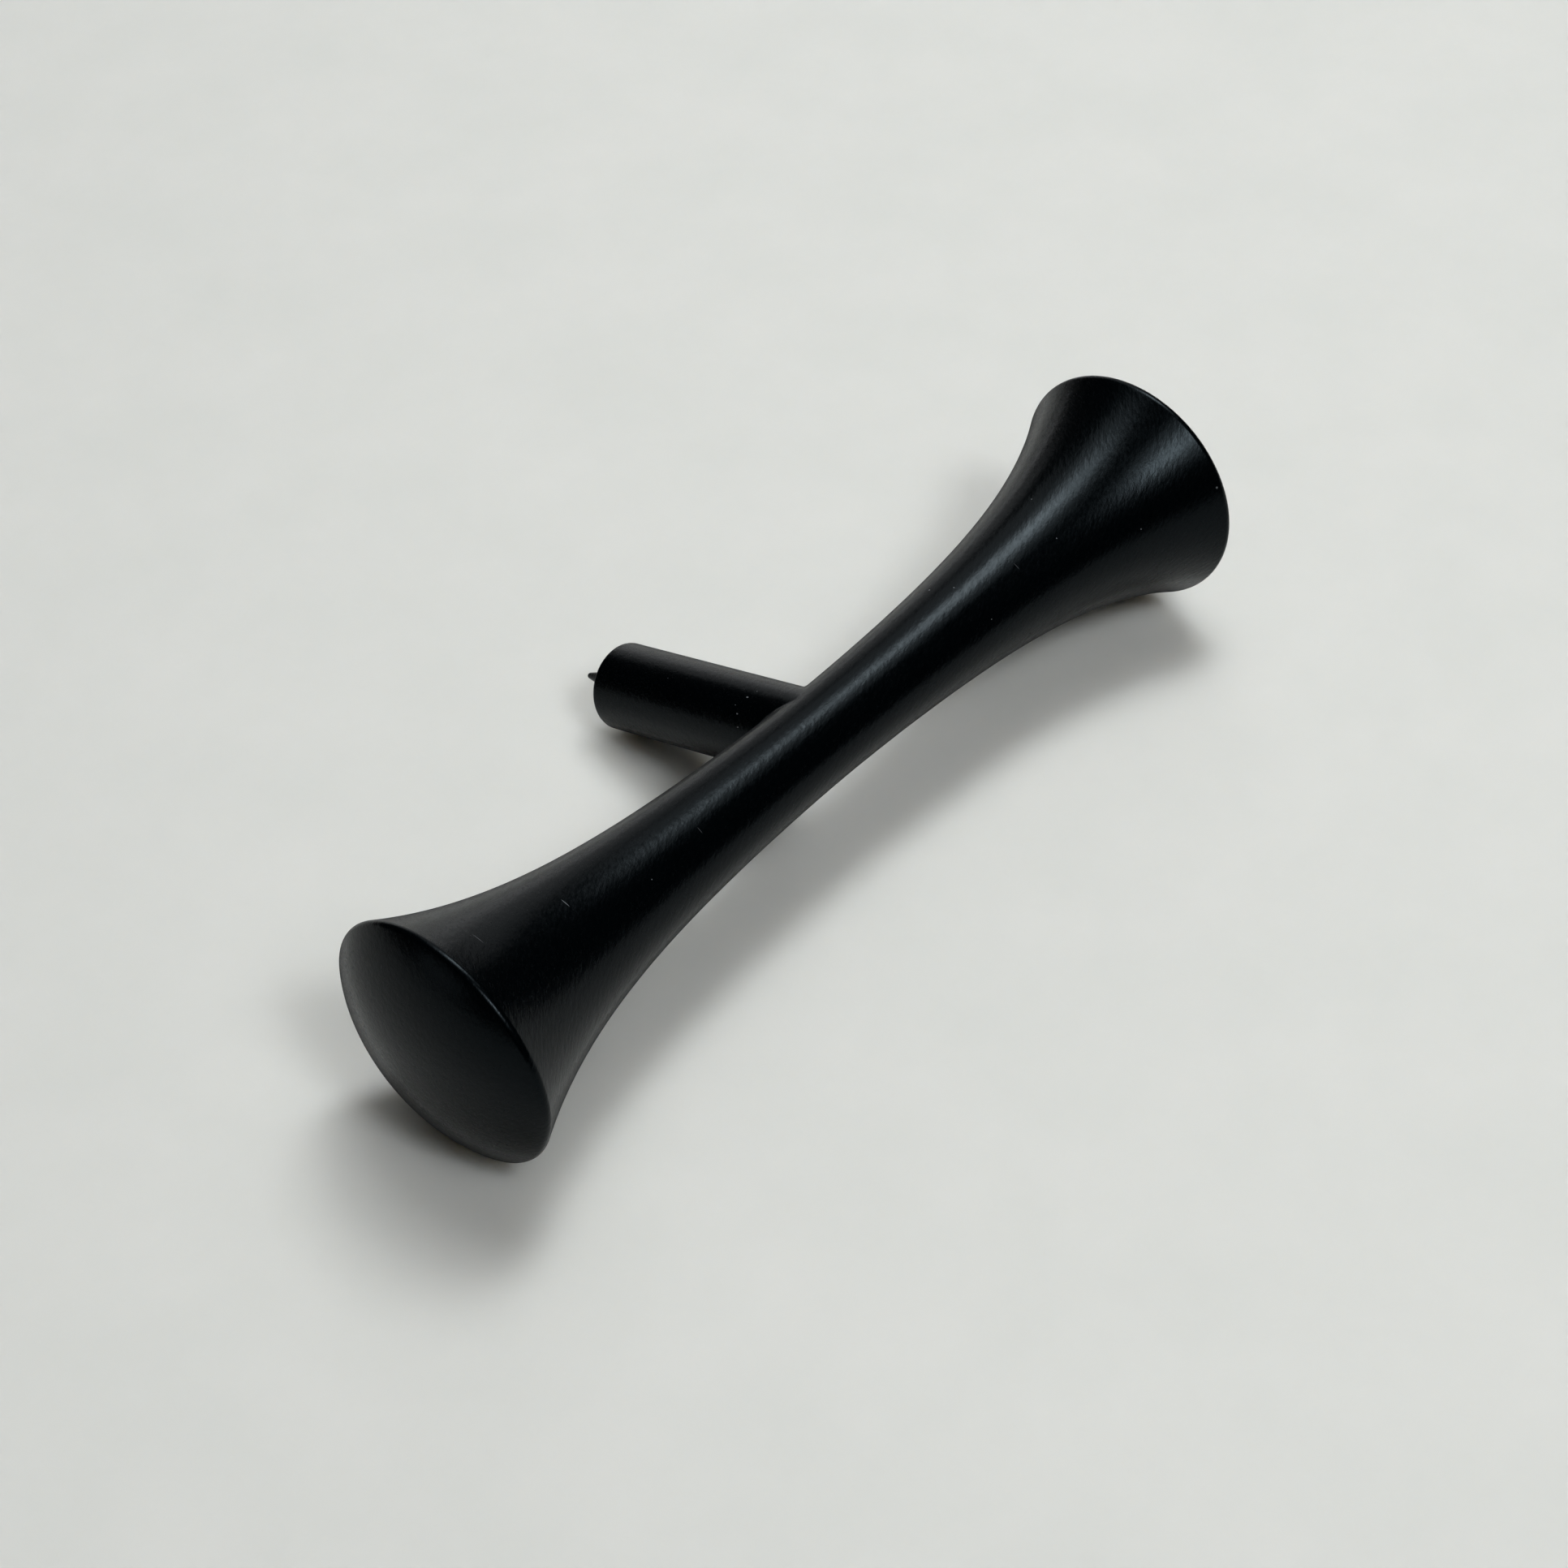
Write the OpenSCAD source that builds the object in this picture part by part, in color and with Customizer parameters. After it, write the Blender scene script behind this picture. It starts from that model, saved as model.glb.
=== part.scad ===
// T-bar cabinet knob: a double-flared handle bar carried on one plain round stem.
// The knob lies on its side. Both rims of the bar and the lower edge of the stem's foot
// touch the plane z = 0, and the origin is the centre of the base of the whole knob's box.
// +X runs along the bar, and the stem points to +Y and slopes down to the plane.

/* [Handle bar] */
// Length over both crowned ends
bar_len = 121.2; // [96:0.1:160]
// Largest diameter, at each rim
rim_d = 28.6; // [24:0.1:34]
// Diameter at the waist, halfway along
waist_d = 10.2; // [10.2:0.1:14]
// Radius that rounds each rim
rim_round = 0.7; // [0.4:0.1:1.5]
// Half-width of the ellipse that crowns each end, as a multiple of the rim's radius
crown_ratio = 1.15; // [1.1:0.01:1.6]
// Half-height of the ellipse that crowns each end
crown_h = 8.3; // [4:0.1:10]
// Weight of the square term in the flare's curve
flare_square = 0.69; // [0.4:0.01:1]
// Weight of the cubic term in the flare's curve
flare_cube = -0.71; // [-0.9:0.01:0]

/* [Stem] */
// Diameter of the stem
stem_d = 10; // [8:0.1:10]
// Distance from the bar's axis to the face of the stem's foot
stem_reach = 30.3; // [28:0.1:40]
// Radius that rounds the edge of the foot
foot_round = 0.3; // [0.1:0.1:0.6]

/* [Mounting thread] */
// Wall diameter of the tapped hole in the foot, for an M4 screw
tapped_d = 3.3; // [3.2:0.1:3.4]
// Depth of the tapped hole, down to its drill point
tapped_depth = 12; // [8:0.5:13]
// Width of the chamfer round the hole's mouth
tapped_chamfer = 0.45; // [0.2:0.05:0.6]

/* [Joining stud] */
// Diameter of the headless stud that ties the stem to the bar
stud_d = 4; // [3:0.5:4]
// Length of the stud inside the bar
stud_in_bar = 6.5; // [5:0.5:7]
// Length of the stud inside the stem
stud_in_stem = 7.5; // [5:0.5:8]
// Width across the flats of the stud's hexagon socket
socket_af = 2; // [1.5:0.1:2]
// Depth of the stud's hexagon socket
socket_depth = 2; // [1:0.1:3]
// Width of the chamfer on each end of the stud
stud_chamfer = 0.4; // [0.2:0.1:0.6]

/* [Anti-rotation spike] */
// Diameter of the spike's shank and of the base of its cone
spike_d = 1.7; // [1:0.1:2]
// Distance from the stem's axis to the spike's axis
spike_offset = 3.5; // [3.3:0.1:3.7]
// Place of the spike round the stem's axis, in degrees
spike_angle = -136; // [-180:1:180]
// Height of the cone above the foot
spike_height = 2.5; // [1.5:0.1:3]
// Length of the shank pressed into the foot
spike_shank = 4; // [3:0.5:6]
// Radius that rounds the spike's point
spike_tip_r = 0.35; // [0.15:0.05:0.4]

/* [Hidden] */
$fn = 96;
flare_steps = 30;
rim_steps = 8;
crown_steps = 12;
edge_steps = 6;
flare_angle_guess = 25;
crown_angle_guess = 60;
solve_rounds = 12;
drill_point_angle = 118;
fit_gap = 0.02;
cut_past = 1;
coat_colour = "#1c1e20";
stud_colour = "#9a9c9e";

rim_r = rim_d / 2;
waist_r = waist_d / 2;
stem_r = stem_d / 2;
half_len = bar_len / 2;

// The rim's rounding is an arc tangent to the flare and to the crown's ellipse
crown_r = crown_ratio * rim_r;
rim_centre_r = rim_r - rim_round;
crown_angle = crown_edge(crown_angle_guess, solve_rounds);
crown_lean = ellipse_lean(crown_angle);
rim_centre_x = half_len - crown_h * (1 - cos(crown_angle)) - rim_round * cos(crown_lean);
rim_angle = flare_angle(flare_angle_guess, solve_rounds);
flare_end_x = rim_centre_x - rim_round * sin(rim_angle);
flare_end_r = rim_centre_r + rim_round * cos(rim_angle);

// The stem slopes down until the rounded edge of its foot touches z = 0
foot_arc_z = stem_reach - foot_round;
foot_arc_r = stem_r - foot_round;
tilt = asin((rim_r - foot_round) / norm([foot_arc_z, foot_arc_r])) - atan2(foot_arc_r, foot_arc_z);

// The knob reaches from the rims' near side to the foot or to the spike's tip
spike_arc_z = stem_reach + spike_height - spike_tip_r;
spike_rise = -spike_offset * sin(spike_angle);
foot_y = foot_arc_z * cos(tilt) + foot_arc_r * sin(tilt) + foot_round;
spike_y = spike_arc_z * cos(tilt) + spike_rise * sin(tilt) + spike_tip_r;
bar_axis_y = (rim_r - max(foot_y, spike_y)) / 2;

// Growth of the flare from 0 at the waist to 1 at the rim, and its slope
function flare(u) = flare_square * u ^ 2 + flare_cube * u ^ 3
    + (1 - flare_square - flare_cube) * u ^ 4;
function flare_slope(u) = 2 * flare_square * u + 3 * flare_cube * u ^ 2
    + 4 * (1 - flare_square - flare_cube) * u ^ 3;
// Angle at which the flare meets the rim's rounding, by repeated substitution
function flare_angle(angle, rounds) = rounds == 0 ? angle : flare_angle(
    atan((rim_centre_r + rim_round * cos(angle) - waist_r) * flare_slope(1)
        / (rim_centre_x - rim_round * sin(angle))), rounds - 1);
// Slope of the crown at a parameter angle of its ellipse
function ellipse_lean(angle) = atan(crown_h / crown_r * tan(angle));
// Parameter angle at which the crown meets the rim's rounding, by repeated substitution
function crown_edge(angle, rounds) = rounds == 0 ? angle : crown_edge(
    asin((rim_centre_r + rim_round * sin(ellipse_lean(angle))) / crown_r), rounds - 1);
// Points [radius, height] of an arc, from one angle above the radius direction to another
function arc(centre, radius, from, to, steps) = [for (i = [0:steps])
    let (a = from + (to - from) * i / steps) centre + radius * [cos(a), sin(a)]];
function reversed(list) = [for (i = [len(list) - 1:-1:0]) list[i]];

// Half of the bar's outline, from the waist to the middle of the crowned end
half_outline = concat(
    [for (i = [0:flare_steps - 1]) let (u = i / flare_steps)
        [waist_r + (flare_end_r - waist_r) * flare(u), flare_end_x * u]],
    arc([rim_centre_r, rim_centre_x], rim_round, -rim_angle, 90 - crown_lean, rim_steps),
    [for (i = [1:crown_steps]) let (a = crown_angle * (1 - i / crown_steps))
        [crown_r * sin(a), half_len - crown_h * (1 - cos(a))]]);
far_outline = [for (p = reversed(half_outline)) if (p[1] > 0) [p[0], -p[1]]];

// Places its children on the bar's axis
module at_bar_axis() {
    translate([0, bar_axis_y, rim_r]) children();
}

// Places its children with +Z along the stem, from the bar's axis towards the foot
module along_stem() {
    at_bar_axis() rotate([-90 - tilt, 0, 0]) children();
}

module bar_body() {
    at_bar_axis() rotate([0, 90, 0]) rotate_extrude() polygon(concat(far_outline, half_outline));
}

module stud_hole() {
    along_stem() translate([0, 0, waist_r - stud_in_bar - fit_gap])
        cylinder(d = stud_d + 2 * fit_gap, h = stud_in_bar + stud_in_stem + 2 * fit_gap);
}

// Tapped hole in the foot, with a chamfered mouth and a drill point
module tapped_hole() {
    point_h = tapped_d / 2 / tan(drill_point_angle / 2);
    mouth_r = tapped_d / 2 + tapped_chamfer;
    rotate_extrude() polygon([
        [0, stem_reach - tapped_depth - point_h],
        [tapped_d / 2, stem_reach - tapped_depth],
        [tapped_d / 2, stem_reach - tapped_chamfer],
        [mouth_r, stem_reach],
        [mouth_r, stem_reach + cut_past],
        [0, stem_reach + cut_past]]);
}

module at_spike() {
    rotate([0, 0, spike_angle]) translate([spike_offset, 0, 0]) children();
}

module spike_hole() {
    at_spike() translate([0, 0, stem_reach - spike_shank - fit_gap])
        cylinder(d = spike_d + fit_gap, h = spike_shank + fit_gap + cut_past);
}

// Double-flared bar with crowned ends, drilled at the waist for the stud
module handle_bar() {
    color(coat_colour) difference() {
        bar_body();
        stud_hole();
    }
}

// Round stem, coped at its top to sit astride the bar's waist
module stem() {
    color(coat_colour) difference() {
        along_stem() rotate_extrude() polygon(concat(
            [[0, 0], [stem_r, 0]],
            arc([foot_arc_r, foot_arc_z], foot_round, 0, 90, edge_steps),
            [[0, stem_reach]]));
        bar_body();
        stud_hole();
        along_stem() tapped_hole();
        along_stem() spike_hole();
    }
}

// Headless stud, screwed half into the bar and half into the stem
module joining_stud() {
    low = waist_r - stud_in_bar;
    high = waist_r + stud_in_stem;
    color(stud_colour) along_stem() difference() {
        rotate_extrude() polygon([
            [0, low],
            [stud_d / 2 - stud_chamfer, low],
            [stud_d / 2, low + stud_chamfer],
            [stud_d / 2, high - stud_chamfer],
            [stud_d / 2 - stud_chamfer, high],
            [0, high]]);
        translate([0, 0, high - socket_depth])
            cylinder(r = socket_af / 2 / cos(30), h = socket_depth + cut_past, $fn = 6);
    }
}

// Small cone that bites into the door so that the knob can't turn
module anti_rotation_spike() {
    lean = acos(spike_tip_r / norm([spike_d / 2, spike_height - spike_tip_r]))
        - atan2(spike_height - spike_tip_r, spike_d / 2);
    color(coat_colour) along_stem() at_spike() rotate_extrude() polygon(concat(
        [[0, stem_reach - spike_shank], [spike_d / 2, stem_reach - spike_shank],
            [spike_d / 2, stem_reach]],
        arc([0, spike_arc_z], spike_tip_r, lean, 90, edge_steps)));
}

handle_bar();
stem();
joining_stud();
anti_rotation_spike();
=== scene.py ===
"""T-bar cabinet knob lying on its side: a satin black double-flared bar on one round stem.

The bar, the stem, the stud and the spike are rebuilt here as fine meshes from the CAD's own
curves. Everything is computed in millimetres and written to the meshes in metres.
"""
import math

import bpy
import numpy as np
from mathutils import Matrix, Vector


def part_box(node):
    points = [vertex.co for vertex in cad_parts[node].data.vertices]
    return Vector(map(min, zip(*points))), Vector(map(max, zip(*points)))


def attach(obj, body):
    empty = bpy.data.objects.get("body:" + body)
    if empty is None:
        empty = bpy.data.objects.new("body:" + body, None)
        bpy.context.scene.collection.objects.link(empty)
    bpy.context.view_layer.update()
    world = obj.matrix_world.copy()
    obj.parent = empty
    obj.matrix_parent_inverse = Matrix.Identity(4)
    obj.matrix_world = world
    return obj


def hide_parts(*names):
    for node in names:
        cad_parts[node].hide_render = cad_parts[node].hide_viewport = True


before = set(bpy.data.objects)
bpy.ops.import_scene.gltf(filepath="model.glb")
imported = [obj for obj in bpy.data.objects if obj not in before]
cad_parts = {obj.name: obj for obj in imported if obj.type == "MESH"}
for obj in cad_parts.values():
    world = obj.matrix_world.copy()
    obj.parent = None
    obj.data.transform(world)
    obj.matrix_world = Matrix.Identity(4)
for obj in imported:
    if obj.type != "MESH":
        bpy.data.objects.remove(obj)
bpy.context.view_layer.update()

MM = 0.001

# ---- Sizes of the knob, in millimetres, as in the CAD ----
bar_low, bar_high = (np.array(corner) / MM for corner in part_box("handle_bar"))
HALF_LEN = (bar_high[0] - bar_low[0]) / 2
RIM_R = (bar_high[2] - bar_low[2]) / 2
AXIS = np.array([0.0, (bar_low[1] + bar_high[1]) / 2, (bar_low[2] + bar_high[2]) / 2])
WAIST_R = 5.1
RIM_ROUND = 0.7
CROWN_R = 1.15 * RIM_R
CROWN_H = 8.3
FLARE_SQUARE, FLARE_CUBE = 0.69, -0.71
FLARE_QUARTIC = 1 - FLARE_SQUARE - FLARE_CUBE

STEM_R = 5.0
STEM_REACH = 30.3
FOOT_ROUND = 0.3
TAPPED_R = 1.65
TAPPED_DEPTH = 12.0
TAPPED_CHAMFER = 0.45
DRILL_POINT_ANGLE = math.radians(118)

STUD_R = 2.0
STUD_IN_BAR = 6.5
STUD_IN_STEM = 7.5
STUD_CHAMFER = 0.4
SOCKET_AF = 2.0
SOCKET_DEPTH = 2.0
FIT_GAP = 0.02

SPIKE_R = 0.85
SPIKE_OFFSET = 3.5
SPIKE_ANGLE = math.radians(-136)
SPIKE_HEIGHT = 2.5
SPIKE_SHANK = 4.0
SPIKE_TIP_R = 0.35

# Fine chamfers and threads, which only the Blender model has
SOCKET_CHAMFER = 0.12
SPIKE_CHAMFER = 0.1
THREAD_PITCH = 0.7
THREAD_DEPTH = 0.35
THREAD_FLAT = 0.25       # flat part of each groove's half profile
THREAD_FLANK = 0.625     # sloping part of it

# Bead of coat in the corner between the stem and the bar, also in this model only
FILLET = 0.35
FILLET_PULL = 0.55 * FILLET
FILLET_DEPTH = 0.12      # how deep its underside lies in the bar
SKIRT = 0.12
SKIRT_SINK = 0.03

SOLVE_ROUNDS = 12

# ---- Mesh fineness ----
BAR_SEGMENTS = 256
STEM_SEGMENTS = 192
SPIKE_SEGMENTS = 64
FLARE_STEPS = 160
RIM_STEPS = 16
CROWN_STEPS = 40
DRILL_STEPS = (0.25, 0.5, 0.75, 1)
HOLE_STEPS = 12
SADDLE_STEPS = 16
FILLET_ROWS = 10
STEM_SIDE_STEPS = 64
FOOT_STEPS = 8
THREAD_ROWS_PER_TURN = 12
SPIKE_SIDE_STEPS = 12
SPIKE_TIP_STEPS = 10
SPIKE_TIP_END = math.radians(80)
CREASE_ANGLE = math.radians(35)
STUD_CREASE_ANGLE = math.radians(30)


# ---- The bar's curves ----
def flare(u):
    """Share of the flare's growth at a share u of its length."""
    return FLARE_SQUARE * u ** 2 + FLARE_CUBE * u ** 3 + FLARE_QUARTIC * u ** 4


def flare_slope(u):
    """Slope of flare() there."""
    return 2 * FLARE_SQUARE * u + 3 * FLARE_CUBE * u ** 2 + 4 * FLARE_QUARTIC * u ** 3


def crown_lean(angle):
    """Slope of the crown at a parameter angle of its ellipse."""
    return math.atan(CROWN_H / CROWN_R * math.tan(angle))


# The rim's rounding is tangent to the crown and to the flare; both angles by substitution
rim_centre_r = RIM_R - RIM_ROUND
crown_angle = 1.0
for _ in range(SOLVE_ROUNDS):
    crown_angle = math.asin((rim_centre_r + RIM_ROUND * math.sin(crown_lean(crown_angle)))
                            / CROWN_R)
rim_centre_x = (HALF_LEN - CROWN_H * (1 - math.cos(crown_angle))
                - RIM_ROUND * math.cos(crown_lean(crown_angle)))
rim_angle = 0.0
for _ in range(SOLVE_ROUNDS):
    rim_angle = math.atan((rim_centre_r + RIM_ROUND * math.cos(rim_angle) - WAIST_R)
                          * flare_slope(1) / (rim_centre_x - RIM_ROUND * math.sin(rim_angle)))
flare_end_x = rim_centre_x - RIM_ROUND * math.sin(rim_angle)
flare_end_r = rim_centre_r + RIM_ROUND * math.cos(rim_angle)


def bar_radius(x):
    """Radius of the flared bar at a distance x from its middle."""
    return WAIST_R + (flare_end_r - WAIST_R) * flare(np.abs(x) / flare_end_x)


# The stem's own frame: origin on the bar's axis, +Z along the stem towards the foot
foot_arc_z = STEM_REACH - FOOT_ROUND
foot_arc_r = STEM_R - FOOT_ROUND
tilt = (math.asin((RIM_R - FOOT_ROUND) / math.hypot(foot_arc_z, foot_arc_r))
        - math.atan2(foot_arc_r, foot_arc_z))
STEM_FRAME = np.array([[1.0, 0.0, 0.0],
                       [0.0, -math.sin(tilt), -math.cos(tilt)],
                       [0.0, math.cos(tilt), -math.sin(tilt)]])


def from_stem(points):
    """Points in the stem's frame, in millimetres, as points of the whole model."""
    return np.asarray(points) @ STEM_FRAME + AXIS


# ---- Mesh helpers ----
def shell(name, rings, first, last):
    """Closed mesh from rings of equal length, with a pole point before and after them."""
    count = len(rings[0])
    points = np.concatenate([[first], *rings, [last]]) * MM
    across = np.arange(count)
    beside = (across + 1) % count
    faces = []
    for row in range(len(rings) - 1):
        low, high = 1 + row * count, 1 + (row + 1) * count
        faces += np.stack([low + across, low + beside, high + beside, high + across], 1).tolist()
    end, tail = len(points) - 1, 1 + (len(rings) - 1) * count
    faces += np.stack([np.zeros(count, int), 1 + beside, 1 + across], 1).tolist()
    faces += np.stack([np.full(count, end), tail + across, tail + beside], 1).tolist()
    mesh = bpy.data.meshes.new(name)
    mesh.from_pydata(points.tolist(), [], faces)
    mesh.validate()
    piece = bpy.data.objects.new(name, mesh)
    bpy.context.scene.collection.objects.link(piece)
    return piece


def subtract(piece, cutter):
    """Cuts the cutter's closed mesh out of the piece, and deletes the cutter."""
    cut = piece.modifiers.new("cut", "BOOLEAN")
    cut.operation = "DIFFERENCE"
    cut.solver = "EXACT"
    cut.object = cutter
    bpy.context.view_layer.update()
    evaluated = piece.evaluated_get(bpy.context.evaluated_depsgraph_get())
    mesh = bpy.data.meshes.new_from_object(evaluated)
    piece.modifiers.remove(cut)
    piece.data = mesh
    bpy.data.objects.remove(cutter)


def smooth(piece, crease_angle):
    """Smooth shading, with edges steeper than the crease angle left sharp."""
    piece.data.shade_smooth()
    piece.data.set_sharp_from_angle(angle=crease_angle)


def turn(radii, heights, segments):
    """Rings about +Z: each radius and height is a number or one value for each segment."""
    angle = np.arange(segments) * 2 * math.pi / segments
    return [np.stack([radius * np.cos(angle), radius * np.sin(angle),
                      height + np.zeros(segments)], 1)
            for radius, height in zip(radii, heights)]


def arc(centre_r, centre_z, radius, start, end, steps):
    """Radii and heights along an arc, for turn()."""
    angle = start + (end - start) * np.arange(steps + 1) / steps
    return list(centre_r + radius * np.cos(angle)), list(centre_z + radius * np.sin(angle))


# ---- Handle bar ----
def build_handle_bar():
    """The whole bar turned about its axis, and drilled at the waist for the stud."""
    u = np.arange(FLARE_STEPS) / FLARE_STEPS
    radii = list(WAIST_R + (flare_end_r - WAIST_R) * flare(u))
    heights = list(flare_end_x * u)
    rim = arc(rim_centre_r, rim_centre_x, RIM_ROUND, -rim_angle,
              math.pi / 2 - crown_lean(crown_angle), RIM_STEPS)
    radii += rim[0]
    heights += rim[1]
    crown = crown_angle * (1 - np.arange(1, CROWN_STEPS) / CROWN_STEPS)
    radii += list(CROWN_R * np.sin(crown))
    heights += list(HALF_LEN - CROWN_H * (1 - np.cos(crown)))
    radii = radii[:0:-1] + radii
    heights = [-h for h in heights[:0:-1]] + heights
    along_x = np.array([[0.0, 1.0, 0.0], [0.0, 0.0, 1.0], [1.0, 0.0, 0.0]])
    rings = [ring @ along_x + AXIS for ring in turn(radii, heights, BAR_SEGMENTS)]
    bar = shell("knob_handle_bar", rings,
                AXIS - [HALF_LEN, 0, 0], AXIS + [HALF_LEN, 0, 0])
    hole_r = STUD_R + FIT_GAP
    low, high = WAIST_R - STUD_IN_BAR - FIT_GAP, WAIST_R + STUD_IN_STEM
    rings = [from_stem(ring) for ring in turn([hole_r, hole_r], [low, high], SPIKE_SEGMENTS)]
    drill_point = hole_r / math.tan(DRILL_POINT_ANGLE / 2)
    subtract(bar, shell("stud_hole", rings, from_stem([0, 0, low - drill_point]),
                        from_stem([0, 0, high])))
    smooth(bar, CREASE_ANGLE)
    return bar


# ---- Stem ----
def saddle(radius, angle):
    """Points at a radius round the stem's axis that lie on the bar's surface."""
    x, y = radius * np.cos(angle), radius * np.sin(angle)
    return np.stack([x, y, np.sqrt(bar_radius(x) ** 2 - y ** 2)], 1)


def bar_normal(points):
    """Outward unit normals of the bar's surface at points in the stem's frame."""
    x = points[:, 0]
    slope = (np.sign(x) * (flare_end_r - WAIST_R) / flare_end_x
             * flare_slope(np.abs(x) / flare_end_x))
    radius = np.hypot(points[:, 1], points[:, 2])
    normal = np.stack([-slope, points[:, 1] / radius, points[:, 2] / radius], 1)
    return normal / np.linalg.norm(normal, axis=1)[:, None]


def on_bar(points, depth=0.0):
    """Points moved straight towards the bar's axis until they lie on its surface."""
    radius = np.hypot(points[:, 1], points[:, 2])
    scale = (bar_radius(points[:, 0]) - depth) / radius
    return np.stack([points[:, 0], points[:, 1] * scale, points[:, 2] * scale], 1)


def unit(vectors):
    """The vectors at length 1."""
    return vectors / np.linalg.norm(vectors, axis=1)[:, None]


def thread_rings(low, high, radius, fade, inside):
    """Right-hand thread between two heights; it fades at both ends, over that many pitches."""
    angle = np.arange(STEM_SEGMENTS) / STEM_SEGMENTS
    rows = int(round((high - low) / THREAD_PITCH * THREAD_ROWS_PER_TURN))
    radii, heights = [], []
    for row in range(rows + 1):
        z = low + (high - low) * row / rows
        phase = (z / THREAD_PITCH - angle) % 1.0
        wave = np.clip((np.abs(phase - 0.5) * 2 - THREAD_FLAT) / THREAD_FLANK, 0, 1)
        reach = np.clip(min(z - low, high - z) / (fade * THREAD_PITCH), 0, 1)
        radii.append(radius + (wave if inside else -wave) * THREAD_DEPTH * reach)
        heights.append(z)
    return radii, heights


def build_stem():
    """Stem from the stud's hole, over the saddle and the fillet, to the tapped foot."""
    angle = np.arange(STEM_SEGMENTS) * 2 * math.pi / STEM_SEGMENTS
    hole_r = STUD_R + FIT_GAP
    hole_end = WAIST_R + STUD_IN_STEM + FIT_GAP
    rings = []
    # Stud's hole, from its drill point down to the saddle
    top = turn([hole_r * k for k in DRILL_STEPS],
               [hole_end + (1 - k) * hole_r / math.tan(DRILL_POINT_ANGLE / 2)
                for k in DRILL_STEPS], STEM_SEGMENTS)
    mouth = saddle(hole_r, angle)
    rings += top
    rings += [top[-1] + (mouth - top[-1]) * k / HOLE_STEPS for k in range(1, HOLE_STEPS)]
    # Saddle, a hair above the bar so that the two solids only touch
    rings += [saddle(hole_r + (STEM_R - hole_r) * k / SADDLE_STEPS, angle)
              + [0, 0, FIT_GAP / 4] for k in range(SADDLE_STEPS)]
    # Fillet of coat, tangent to the bar and to the stem's side
    corner = saddle(STEM_R, angle)
    normal = bar_normal(corner)
    along = unit(np.roll(corner, -1, 0) - np.roll(corner, 1, 0))
    across = unit(np.cross(along, normal))
    outward = np.stack([np.cos(angle), np.sin(angle), np.zeros(STEM_SEGMENTS)], 1)
    across *= np.sign((across * outward).sum(1) - 0.5 * across[:, 2] + 1e-9)[:, None]
    edge = on_bar(corner + FILLET * across)
    edge_in = unit(corner - edge)
    edge_normal = bar_normal(edge)
    edge_in = unit(edge_in - (edge_in * edge_normal).sum(1)[:, None] * edge_normal)
    upper = corner + [0, 0, FILLET]
    skirt = on_bar(edge - SKIRT * edge_in, SKIRT_SINK)
    rings += [on_bar(corner, FILLET_DEPTH), on_bar((corner + edge) / 2, FILLET_DEPTH), skirt]
    for k in range(FILLET_ROWS + 1):
        t = k / FILLET_ROWS
        rings.append(edge * (1 - t) ** 3
                     + (edge + FILLET_PULL * edge_in) * 3 * t * (1 - t) ** 2
                     + (upper - [0, 0, FILLET_PULL]) * 3 * t ** 2 * (1 - t) + upper * t ** 3)
    # Side of the stem
    side_end = np.stack([STEM_R * np.cos(angle), STEM_R * np.sin(angle),
                         np.full(STEM_SEGMENTS, foot_arc_z)], 1)
    rings += [upper + (side_end - upper) * k / STEM_SIDE_STEPS
              for k in range(1, STEM_SIDE_STEPS)]
    # Foot: rounded edge, flat face, chamfered mouth, thread and drill point
    radii, heights = arc(foot_arc_r, foot_arc_z, FOOT_ROUND, 0, math.pi / 2, FOOT_STEPS)
    mouth_r = TAPPED_R + TAPPED_CHAMFER
    steps = [foot_arc_r + (mouth_r - foot_arc_r) * k / FOOT_STEPS
             for k in range(1, FOOT_STEPS + 1)]
    radii += steps
    heights += [STEM_REACH] * len(steps)
    radii += [TAPPED_R + TAPPED_CHAMFER / 2, TAPPED_R]
    heights += [STEM_REACH - TAPPED_CHAMFER / 2, STEM_REACH - TAPPED_CHAMFER]
    thread = thread_rings(STEM_REACH - TAPPED_DEPTH, STEM_REACH - TAPPED_CHAMFER,
                          TAPPED_R, fade=0.6, inside=True)
    radii += thread[0][-2::-1]
    heights += thread[1][-2::-1]
    point_h = TAPPED_R / math.tan(DRILL_POINT_ANGLE / 2)
    for k in DRILL_STEPS[-2::-1]:
        radii.append(TAPPED_R * k)
        heights.append(STEM_REACH - TAPPED_DEPTH - point_h * (1 - k))
    rings += turn(radii, heights, STEM_SEGMENTS)
    first = [0, 0, hole_end + hole_r / math.tan(DRILL_POINT_ANGLE / 2)]
    last = [0, 0, STEM_REACH - TAPPED_DEPTH - point_h]
    stem = shell("knob_stem", [from_stem(ring) for ring in rings],
                 from_stem(first), from_stem(last))
    spike_at = [SPIKE_OFFSET * math.cos(SPIKE_ANGLE), SPIKE_OFFSET * math.sin(SPIKE_ANGLE), 0]
    spike_hole_r = SPIKE_R + FIT_GAP / 2
    low = STEM_REACH - SPIKE_SHANK - FIT_GAP
    cutter = [from_stem(ring + spike_at) for ring in
              turn([spike_hole_r] * 2, [low, STEM_REACH + 1], SPIKE_SEGMENTS)]
    subtract(stem, shell("spike_hole", cutter, from_stem([*spike_at[:2], low]),
                         from_stem([*spike_at[:2], STEM_REACH + 1])))
    smooth(stem, CREASE_ANGLE)
    return stem


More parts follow.
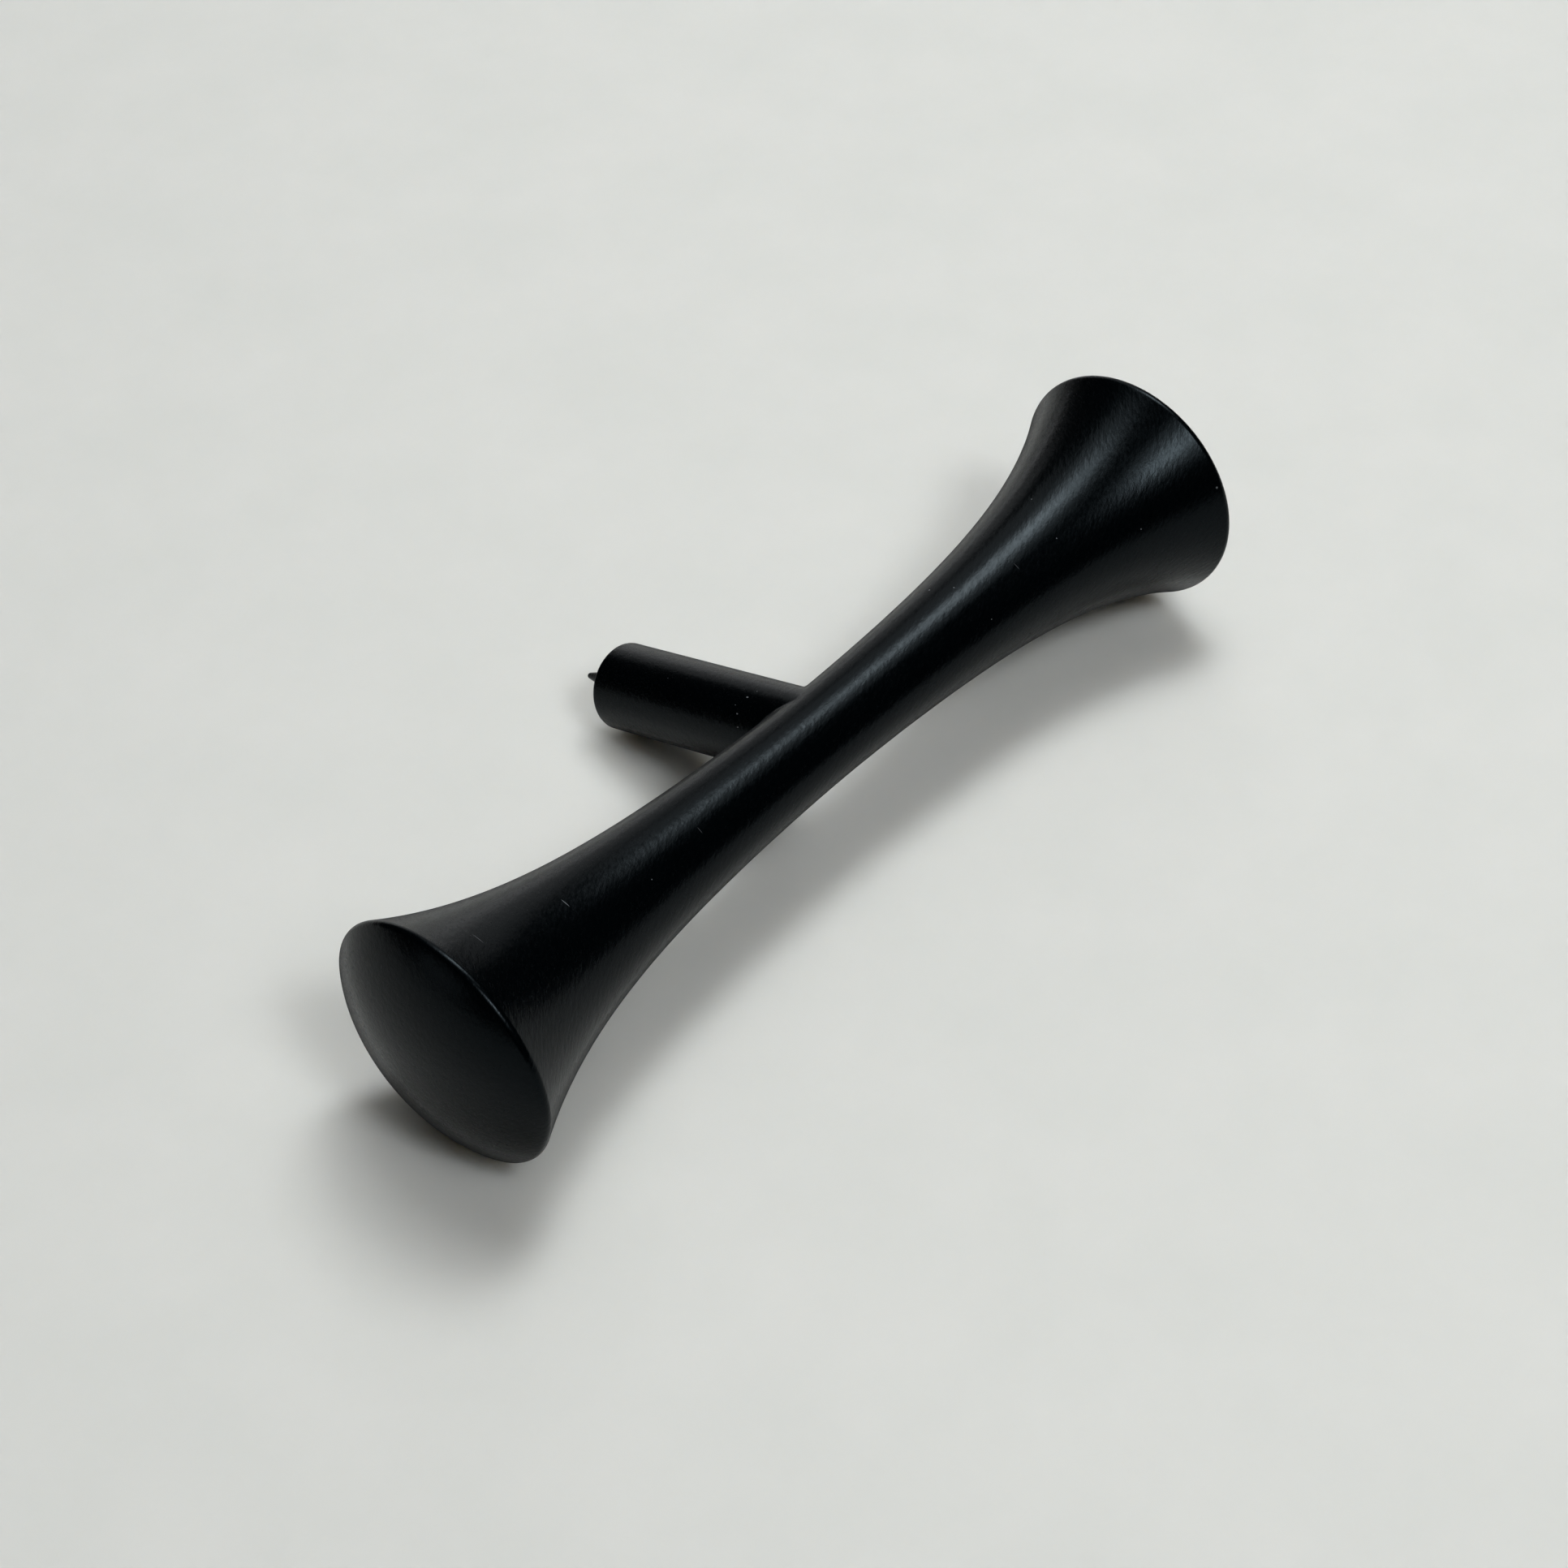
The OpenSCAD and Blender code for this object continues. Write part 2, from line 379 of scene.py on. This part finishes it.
# ---- Spike ----
def build_spike():
    """Cone with a shank and a rounded point."""
    tip_z = STEM_REACH + SPIKE_HEIGHT - SPIKE_TIP_R
    lean = (math.acos(SPIKE_TIP_R / math.hypot(SPIKE_R, SPIKE_HEIGHT - SPIKE_TIP_R))
            - math.atan2(SPIKE_HEIGHT - SPIKE_TIP_R, SPIKE_R))
    root = STEM_REACH - SPIKE_SHANK
    radii = [SPIKE_R * 0.5, SPIKE_R - SPIKE_CHAMFER, SPIKE_R, SPIKE_R]
    heights = [root, root, root + SPIKE_CHAMFER, STEM_REACH]
    tip = arc(0, tip_z, SPIKE_TIP_R, lean, SPIKE_TIP_END, SPIKE_TIP_STEPS)
    for k in range(1, SPIKE_SIDE_STEPS):
        radii.append(SPIKE_R + (tip[0][0] - SPIKE_R) * k / SPIKE_SIDE_STEPS)
        heights.append(STEM_REACH + (tip[1][0] - STEM_REACH) * k / SPIKE_SIDE_STEPS)
    radii += tip[0]
    heights += tip[1]
    place = [SPIKE_OFFSET * math.cos(SPIKE_ANGLE), SPIKE_OFFSET * math.sin(SPIKE_ANGLE), 0]
    rings = [from_stem(ring + place) for ring in turn(radii, heights, SPIKE_SEGMENTS)]
    spike = shell("knob_anti_rotation_spike", rings,
                  from_stem([*place[:2], root]),
                  from_stem([*place[:2], STEM_REACH + SPIKE_HEIGHT]))
    smooth(spike, CREASE_ANGLE)
    return spike


# ---- Stud ----
def build_stud():
    """Headless threaded stud with a hexagon socket in its stem end."""
    low, high = WAIST_R - STUD_IN_BAR, WAIST_R + STUD_IN_STEM
    angle = np.arange(STEM_SEGMENTS) * 2 * math.pi / STEM_SEGMENTS
    sixth = math.pi / 3
    hexagon = SOCKET_AF / 2 / np.cos(angle % sixth - sixth / 2)
    radii = [STUD_R / 2, STUD_R - STUD_CHAMFER]
    heights = [low, low]
    thread = thread_rings(low + STUD_CHAMFER, high - STUD_CHAMFER, STUD_R,
                          fade=0.4, inside=False)
    radii += thread[0] + [STUD_R - STUD_CHAMFER, hexagon + SOCKET_CHAMFER, hexagon, hexagon,
                          hexagon * 0.5]
    heights += thread[1] + [high, high, high - SOCKET_CHAMFER, high - SOCKET_DEPTH,
                            high - SOCKET_DEPTH]
    rings = [from_stem(ring) for ring in turn(radii, heights, STEM_SEGMENTS)]
    stud = shell("knob_joining_stud", rings, from_stem([0, 0, low]),
                 from_stem([0, 0, high - SOCKET_DEPTH]))
    smooth(stud, STUD_CREASE_ANGLE)
    return stud


# ---- Materials ----
# Noise scales are in waves per metre and depths in millimetres. Each dulling is added to the
# roughness where its pattern is strongest.
COAT_IOR = 1.20
COAT_TINT = (0.70, 0.89, 1.0, 1)
COAT_BLACK = (0.0002, 0.0006, 0.0009, 1)
COAT_ROUGHNESS = 0.235
CLOUD_SCALE, CLOUD_DULLING = 60, 0.015
PEEL_SCALE, PEEL_DEPTH, PEEL_STRENGTH = 900, 0.02, 0.05
GRAIN_SCALE, GRAIN_DEPTH = 1700, 0.03
GRAIN_STRETCH = 0.5      # along the bar
GRAIN_TWIST = 60.0       # radians per metre round the bar
FLECK_SCALE, FLECK_DULLING = 3200, 0.055
EDGE_START, EDGE_DULLING = 0.72, 0.45
WEAR_DULLING, WEAR_DEPTH, WEAR_STRENGTH = 0.25, 0.03, 0.5
MARK_GREY = (0.13, 0.14, 0.15, 1)
MARK_CORE = 0.45         # share of a mark's size that has its full strength
BAR_SPECK_STRENGTH, STEM_SPECK_STRENGTH = 0.8, 0.9
STEM_SPECK_WIDTH = 0.6   # of its length

STEEL_BRIGHT, STEEL_DULL = (0.60, 0.61, 0.63, 1), (0.48, 0.48, 0.47, 1)
PAPER_DARK, PAPER_PALE = (0.665, 0.682, 0.654, 1), (0.695, 0.707, 0.680, 1)
NOISE_LOW, NOISE_HIGH = 0.3, 0.7


def link(tree, source, target):
    """Joins two sockets."""
    tree.links.new(source, target)


def make_material(name):
    """New material with its node tree and its Principled shader."""
    material = bpy.data.materials.new(name)
    material.use_nodes = True
    tree = material.node_tree
    shader = tree.nodes["Principled BSDF"]
    return material, tree, shader


def node_of(tree, kind, **values):
    """New node with some of its settings."""
    made = tree.nodes.new(kind)
    for key, value in values.items():
        setattr(made, key, value)
    return made


# Scratches on the bar: distance from its middle along +X, angle round it from +Y in degrees,
# half length, half width and strength. Specks: distance, angle and radius.
BAR_SCRATCHES = [(-40.2, 102.5, 0.70, 0.055, 0.9), (-51.3, 96.0, 1.10, 0.060, 0.35),
                 (30.5, 117.0, 0.60, 0.045, 0.3), (-22.0, 121.0, 0.50, 0.045, 0.3)]
BAR_SPECKS = [(38.8, 80.5, 0.09), (36.6, 121.0, 0.09), (46.0, 152.5, 0.10), (21.6, 68.5, 0.13),
              (23.2, 90.0, 0.10), (23.9, 143.0, 0.08), (55.5, 152.0, 0.16), (-30.4, 128.0, 0.08),
              (-47.5, 60.0, 0.09), (8.4, 205.0, 0.09), (-18.0, 250.0, 0.10), (33.0, 300.0, 0.10)]
# The same on the stem: distance from the bar's axis and angle round the stem's axis
STEM_SPECKS = [(7.3, 250.0, 0.20), (7.6, 226.0, 0.16), (7.1, 210.0, 0.15), (8.3, 236.0, 0.08),
               (6.7, 262.0, 0.09), (19.5, 247.0, 0.07), (24.0, 80.0, 0.10)]
STEM_SCUFFS = [(13.3, 268.0, 1.6, 0.30, 0.10), (12.6, 284.0, 1.2, 0.28, 0.08),
               (14.6, 276.0, 0.9, 0.22, 0.08)]


def on_the_bar(x, degrees):
    """Point on the bar and the direction round it there."""
    t = math.radians(degrees)
    radius = float(bar_radius(x))
    return (AXIS + [x, radius * math.cos(t), radius * math.sin(t)],
            Vector((0, -math.sin(t), math.cos(t))))


def on_the_stem(z, degrees):
    """Point on the stem and the direction along it."""
    t = math.radians(degrees)
    return (from_stem([STEM_R * math.cos(t), STEM_R * math.sin(t), z]),
            Vector(from_stem([0, 0, 1]) - from_stem([0, 0, 0])))


def mark_mask(tree, place, centre, along, half_length, half_width, strength):
    """Mask that is the strength inside a thin ellipsoid and 0 outside it."""
    local = node_of(tree, "ShaderNodeMapping", vector_type="TEXTURE")
    local.inputs["Location"].default_value = [c * MM for c in centre]
    local.inputs["Rotation"].default_value = along.to_track_quat("X", "Z").to_euler()
    local.inputs["Scale"].default_value = (half_length * MM, half_width * MM, half_width * MM)
    link(tree, place, local.inputs["Vector"])
    reach = node_of(tree, "ShaderNodeVectorMath", operation="LENGTH")
    link(tree, local.outputs["Vector"], reach.inputs[0])
    fade = node_of(tree, "ShaderNodeMapRange", interpolation_type="SMOOTHSTEP")
    for key, value in (("From Min", MARK_CORE), ("From Max", 1.0), ("To Min", strength),
                       ("To Max", 0.0)):
        fade.inputs[key].default_value = value
    link(tree, reach.outputs["Value"], fade.inputs["Value"])
    return fade.outputs["Result"]


def highest(tree, masks):
    """The largest of several masks."""
    total = masks[0]
    for mask in masks[1:]:
        largest = node_of(tree, "ShaderNodeMath", operation="MAXIMUM")
        link(tree, total, largest.inputs[0])
        link(tree, mask, largest.inputs[1])
        total = largest.outputs["Value"]
    return total


def noise(tree, place, scale, detail, rough=0.5):
    """Noise between 0 and 1."""
    made = node_of(tree, "ShaderNodeTexNoise")
    made.inputs["Scale"].default_value = scale
    made.inputs["Detail"].default_value = detail
    made.inputs["Roughness"].default_value = rough
    link(tree, place, made.inputs["Vector"])
    return made.outputs["Fac"]


def map_range(tree, value, out_low, out_high, low=NOISE_LOW, high=NOISE_HIGH):
    """The value stretched from one range to another, and held at its ends."""
    made = node_of(tree, "ShaderNodeMapRange")
    for key, number in (("From Min", low), ("From Max", high), ("To Min", out_low),
                        ("To Max", out_high)):
        made.inputs[key].default_value = number
    link(tree, value, made.inputs["Value"])
    return made.outputs["Result"]


def bump(tree, height, strength, distance, normal=None):
    """Normal bent by a height pattern that is the distance deep, in millimetres."""
    made = node_of(tree, "ShaderNodeBump")
    made.inputs["Strength"].default_value = strength
    made.inputs["Distance"].default_value = distance * MM
    link(tree, height, made.inputs["Height"])
    if normal:
        link(tree, normal, made.inputs["Normal"])
    return made.outputs["Normal"]


def multiply_add(tree, value, factor, addend):
    """value * factor + addend, where the factor is a number."""
    made = node_of(tree, "ShaderNodeMath", operation="MULTIPLY_ADD")
    made.inputs[1].default_value = factor
    link(tree, value, made.inputs[0])
    link(tree, addend, made.inputs[2])
    return made.outputs["Value"]


def blend(tree, factor, colour_low, colour_high):
    """Colour between two fixed colours."""
    made = node_of(tree, "ShaderNodeMix", data_type="RGBA")
    made.inputs["A"].default_value = colour_low
    made.inputs["B"].default_value = colour_high
    link(tree, factor, made.inputs["Factor"])
    return made.outputs["Result"]


def black_coat(name, scratches, specks, scuffs):
    """Satin black coat: a fine flecked grain, slight orange peel, scratches and specks."""
    material, tree, shader = make_material(name)
    shader.distribution = "GGX"
    shader.inputs["IOR"].default_value = COAT_IOR
    shader.inputs["Specular Tint"].default_value = COAT_TINT
    place = node_of(tree, "ShaderNodeTexCoord").outputs["Object"]

    # Grain drawn out along the bar and twisted a little round it
    parts = node_of(tree, "ShaderNodeSeparateXYZ")
    link(tree, place, parts.inputs["Vector"])
    turn_by = node_of(tree, "ShaderNodeMath", operation="MULTIPLY")
    turn_by.inputs[1].default_value = GRAIN_TWIST
    link(tree, parts.outputs["X"], turn_by.inputs[0])
    twist = node_of(tree, "ShaderNodeVectorRotate", rotation_type="X_AXIS")
    twist.inputs["Center"].default_value = [c * MM for c in AXIS]
    link(tree, place, twist.inputs["Vector"])
    link(tree, turn_by.outputs["Value"], twist.inputs["Angle"])
    stretch = node_of(tree, "ShaderNodeMapping")
    stretch.inputs["Scale"].default_value = (GRAIN_STRETCH, 1, 1)
    link(tree, twist.outputs["Vector"], stretch.inputs["Vector"])
    grain = noise(tree, stretch.outputs["Vector"], GRAIN_SCALE, 3, 0.6)
    fleck = noise(tree, stretch.outputs["Vector"], FLECK_SCALE, 2, 0.6)
    peel = noise(tree, place, PEEL_SCALE, 2)
    cloud = noise(tree, place, CLOUD_SCALE, 4)

    marks = highest(tree, [mark_mask(tree, place, *mark) for mark in scratches + specks])
    wear = highest(tree, [mark_mask(tree, place, *mark) for mark in scratches + specks + scuffs])

    normal = bump(tree, peel, PEEL_STRENGTH, PEEL_DEPTH)
    normal = bump(tree, grain, 1, GRAIN_DEPTH, normal)
    normal = bump(tree, wear, WEAR_STRENGTH, WEAR_DEPTH, normal)
    link(tree, normal, shader.inputs["Normal"])

    dullness = map_range(tree, cloud, COAT_ROUGHNESS - CLOUD_DULLING,
                         COAT_ROUGHNESS + CLOUD_DULLING)
    dullness = multiply_add(tree, map_range(tree, fleck, -1, 1), FLECK_DULLING, dullness)
    dullness = multiply_add(tree, wear, WEAR_DULLING, dullness)
    # The coat looks duller where it turns away
    facing = node_of(tree, "ShaderNodeLayerWeight").outputs["Facing"]
    edge = map_range(tree, facing, 0, 1, EDGE_START, 1)
    dullness = multiply_add(tree, edge, EDGE_DULLING, dullness)
    link(tree, dullness, shader.inputs["Roughness"])

    link(tree, blend(tree, marks, COAT_BLACK, MARK_GREY), shader.inputs["Base Color"])
    return material


def bar_coat():
    """The coat with the bar's marks."""
    scratches = [(*on_the_bar(x, angle), length, width, strength)
                 for x, angle, length, width, strength in BAR_SCRATCHES]
    specks = [(*on_the_bar(x, angle), size, size, BAR_SPECK_STRENGTH)
              for x, angle, size in BAR_SPECKS]
    return black_coat("satin_black_coat", scratches, specks, [])


def stem_coat():
    """The coat with the stem's marks."""
    specks = [(*on_the_stem(z, angle), size, size * STEM_SPECK_WIDTH, STEM_SPECK_STRENGTH)
              for z, angle, size in STEM_SPECKS]
    scuffs = [(*on_the_stem(z, angle), length, width, strength)
              for z, angle, length, width, strength in STEM_SCUFFS]
    return black_coat("satin_black_stem", [], specks, scuffs)


def steel():
    """Zinc-plated steel for the hidden stud, clouded and finely grained."""
    material, tree, shader = make_material("zinc_plated_steel")
    shader.inputs["Metallic"].default_value = 1
    place = node_of(tree, "ShaderNodeTexCoord").outputs["Object"]
    cloud = noise(tree, place, 700, 4)
    grain = noise(tree, place, 9000, 2)
    link(tree, map_range(tree, cloud, 0.22, 0.42), shader.inputs["Roughness"])
    link(tree, bump(tree, grain, 0.3, 0.01), shader.inputs["Normal"])
    link(tree, blend(tree, cloud, STEEL_BRIGHT, STEEL_DULL), shader.inputs["Base Color"])
    return material


def floor_finish():
    """Plain pale paper with a barely visible cloudiness."""
    material, tree, shader = make_material("pale_floor")
    shader.inputs["Roughness"].default_value = 0.6
    shader.inputs["Specular IOR Level"].default_value = 0.2
    shader.subsurface_method = "BURLEY"
    shader.inputs["Subsurface Weight"].default_value = 1
    shader.inputs["Subsurface Radius"].default_value = (1.0, 0.9, 0.75)
    shader.inputs["Subsurface Scale"].default_value = 4 * MM
    place = node_of(tree, "ShaderNodeTexCoord").outputs["Object"]
    cloud = map_range(tree, noise(tree, place, 55, 5, 0.6), 0, 1)
    link(tree, blend(tree, cloud, PAPER_DARK, PAPER_PALE), shader.inputs["Base Color"])
    return material


stem_finish = stem_coat()
for build, node, slot, finish in (
        (build_handle_bar, "handle_bar", "black_coat", bar_coat()),
        (build_stem, "stem", "black_coat", stem_finish),
        (build_spike, "anti_rotation_spike", "black_coat", stem_finish),
        (build_stud, "joining_stud", "plated_steel", steel())):
    piece = build()
    piece.data.materials.append(finish)
    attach(piece, "root")
    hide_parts(node)

# ---- Stage ----
FLOOR_HALF = 3.0         # metres
floor_mesh = bpy.data.meshes.new("floor")
floor_mesh.from_pydata([(-FLOOR_HALF, -FLOOR_HALF, 0), (FLOOR_HALF, -FLOOR_HALF, 0),
                        (FLOOR_HALF, FLOOR_HALF, 0), (-FLOOR_HALF, FLOOR_HALF, 0)],
                       [], [(0, 1, 2, 3)])
floor = bpy.data.objects.new("floor", floor_mesh)
floor.data.materials.append(floor_finish())
bpy.context.scene.collection.objects.link(floor)

AIM = AXIS * MM


def direction(azimuth, elevation):
    """Unit vector from the knob towards a light or the camera, angles in degrees."""
    a, e = math.radians(azimuth), math.radians(elevation)
    return Vector((math.sin(a) * math.cos(e), -math.cos(a) * math.cos(e), math.sin(e)))


def softbox(name, azimuth, elevation, distance, size, radiance):
    """Elliptical lamp that faces the knob; its distance and size are in metres."""
    light = bpy.data.lights.new(name, "AREA")
    light.shape = "ELLIPSE"
    light.size, light.size_y = size
    light.energy = radiance * math.pi ** 2 * size[0] * size[1] / 4
    lamp = bpy.data.objects.new(name, light)
    away = direction(azimuth, elevation)
    lamp.location = Vector(AIM) + away * distance
    lamp.rotation_euler = away.to_track_quat("Z", "Y").to_euler()
    bpy.context.scene.collection.objects.link(lamp)


softbox("key", 108, 62, 1.0, (0.30, 0.30), 12.6)
softbox("key_spill", 100, 64, 1.0, (0.66, 0.66), 1.5)
softbox("back", 128, 72, 1.0, (0.30, 0.30), 6.0)
softbox("back_spill", 146, 70, 1.0, (0.52, 0.52), 1.8)
softbox("front", -9, 54, 1.0, (0.24, 0.24), 17.0)
softbox("front_spill", -14, 55, 1.0, (0.60, 0.60), 2.3)
softbox("wall_low", 140, 5, 1.2, (1.1, 0.24), 1.2)
softbox("wall_high", 130, 21, 1.2, (1.3, 0.40), 0.7)
softbox("wall_top", 136, 45, 1.1, (0.55, 0.40), 1.0)
softbox("left", -110, 8, 1.2, (0.6, 0.3), 0.55)

AMBIENT = 0.008
world = bpy.data.worlds.new("studio")
world.use_nodes = True
world.node_tree.nodes["Background"].inputs["Color"].default_value = (AMBIENT, AMBIENT, AMBIENT, 1)
bpy.context.scene.world = world

# ---- Camera ----
CAMERA_AZIMUTH, CAMERA_ELEVATION, CAMERA_ROLL = -48.915, 44.81, -0.44
CAMERA_DISTANCE = 326.52
CAMERA_LENS, CAMERA_SENSOR = 68.80, 36
CAMERA_AIM = AXIS + np.array([-2.110, 2.921, -7.199])
camera_data = bpy.data.cameras.new("camera")
camera_data.sensor_width = CAMERA_SENSOR
camera_data.lens = CAMERA_LENS
camera_data.clip_start = 0.01
camera = bpy.data.objects.new("camera", camera_data)
back = direction(CAMERA_AZIMUTH, CAMERA_ELEVATION)
turned = math.radians(CAMERA_AZIMUTH)
level = Vector((math.cos(turned), math.sin(turned), 0))
rise = back.cross(level)
roll = math.radians(CAMERA_ROLL)
right = level * math.cos(roll) + rise * math.sin(roll)
up = back.cross(right)
stand = Vector(CAMERA_AIM * MM) + back * CAMERA_DISTANCE * MM
camera.matrix_world = (Matrix.Translation(stand)
                       @ Matrix((right, up, back)).transposed().to_4x4())
bpy.context.scene.collection.objects.link(camera)
bpy.context.scene.camera = camera
bpy.context.scene.view_settings.view_transform = "Standard"
